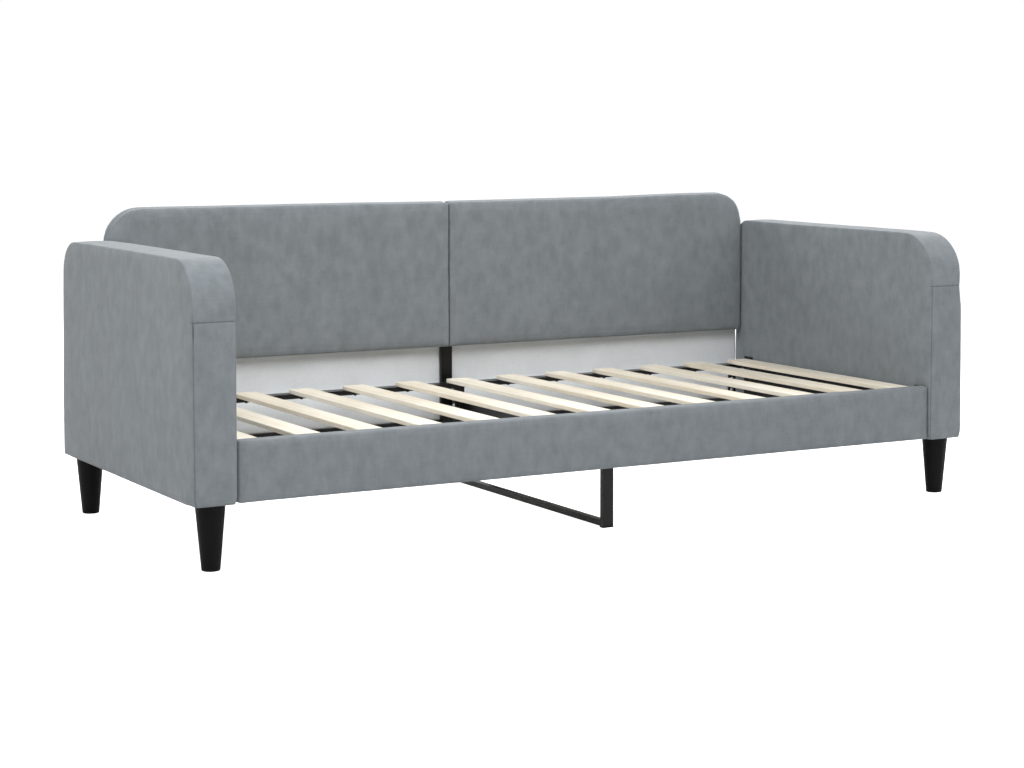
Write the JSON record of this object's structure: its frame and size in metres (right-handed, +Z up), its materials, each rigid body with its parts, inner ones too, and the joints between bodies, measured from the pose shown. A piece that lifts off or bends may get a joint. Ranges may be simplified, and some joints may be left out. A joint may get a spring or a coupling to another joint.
{
  "type": "daybed",
  "caption": "Single daybed with padded fabric arms and two-piece padded back, low front rail, steel rails, pine slats, centre support and tapered feet.",
  "frame": {"origin": "on the floor, under the middle of the daybed's overall box", "axes": "+X along the length towards the arm on the right as seen from the front, +Y towards the back, +Z up"},
  "size_m": [2.224, 0.94, 0.796],
  "materials": {
    "fabric": "mid blue-grey woven upholstery fabric over foam, matt",
    "rear_cloth": "light grey reverse side of the rear cloth, matt",
    "black_cloth": "thin black non-woven lining cloth, matt",
    "pine": "planed pale pine, bare",
    "timber": "sawn softwood and plywood, bare",
    "black_steel": "satin black powder coat on steel tube",
    "zinc_steel": "bright zinc-plated steel",
    "black_plastic": "moulded black plastic, fine satin"
  },
  "bodies": {
    "root": {"arm_cover_left": "fabric", "arm_front_post_left": "timber", "arm_rear_post_left": "timber", "arm_top_rail_left": "timber", "arm_bottom_rail_left": "timber", "arm_under_cloth_left": "black_cloth", "arm_lining_left": "black_cloth", "back_pad_left": "fabric", "back_board_left": "timber", "rear_cloth_left": "rear_cloth", "rear_bottom_rail_left": "black_steel", "rear_corner_plate_left": "black_steel", "foot_front_left": "black_plastic", "foot_plate_front_left": "zinc_steel", "rail_bracket_front_left": "black_steel", "foot_rear_left": "black_plastic", "foot_plate_rear_left": "zinc_steel", "rail_bracket_rear_left": "black_steel", "arm_cover_right": "fabric", "arm_front_post_right": "timber", "arm_rear_post_right": "timber", "arm_top_rail_right": "timber", "arm_bottom_rail_right": "timber", "arm_under_cloth_right": "black_cloth", "arm_lining_right": "black_cloth", "back_pad_right": "fabric", "back_board_right": "timber", "rear_cloth_right": "rear_cloth", "rear_bottom_rail_right": "black_steel", "rear_corner_plate_right": "black_steel", "foot_front_right": "black_plastic", "foot_plate_front_right": "zinc_steel", "rail_bracket_front_right": "black_steel", "foot_rear_right": "black_plastic", "foot_plate_rear_right": "zinc_steel", "rail_bracket_rear_right": "black_steel", "front_rail_board": "timber", "front_rail_cover": "fabric", "seat_rail_front": "black_steel", "seat_rail_rear": "black_steel", "back_post": "black_steel", "centre_leg_front": "black_steel", "centre_glide_front": "black_plastic", "centre_leg_rear": "black_steel", "centre_glide_rear": "black_plastic", "centre_floor_bar": "black_steel", "centre_cross_beam": "black_steel", "slat_01": "pine", "slat_02": "pine", "slat_03": "pine", "slat_04": "pine", "slat_05": "pine", "slat_06": "pine", "slat_07": "pine", "slat_08": "pine", "slat_09": "pine", "slat_10": "pine", "slat_11": "pine", "slat_12": "pine", "slat_13": "pine"}
  },
  "joints": []
}
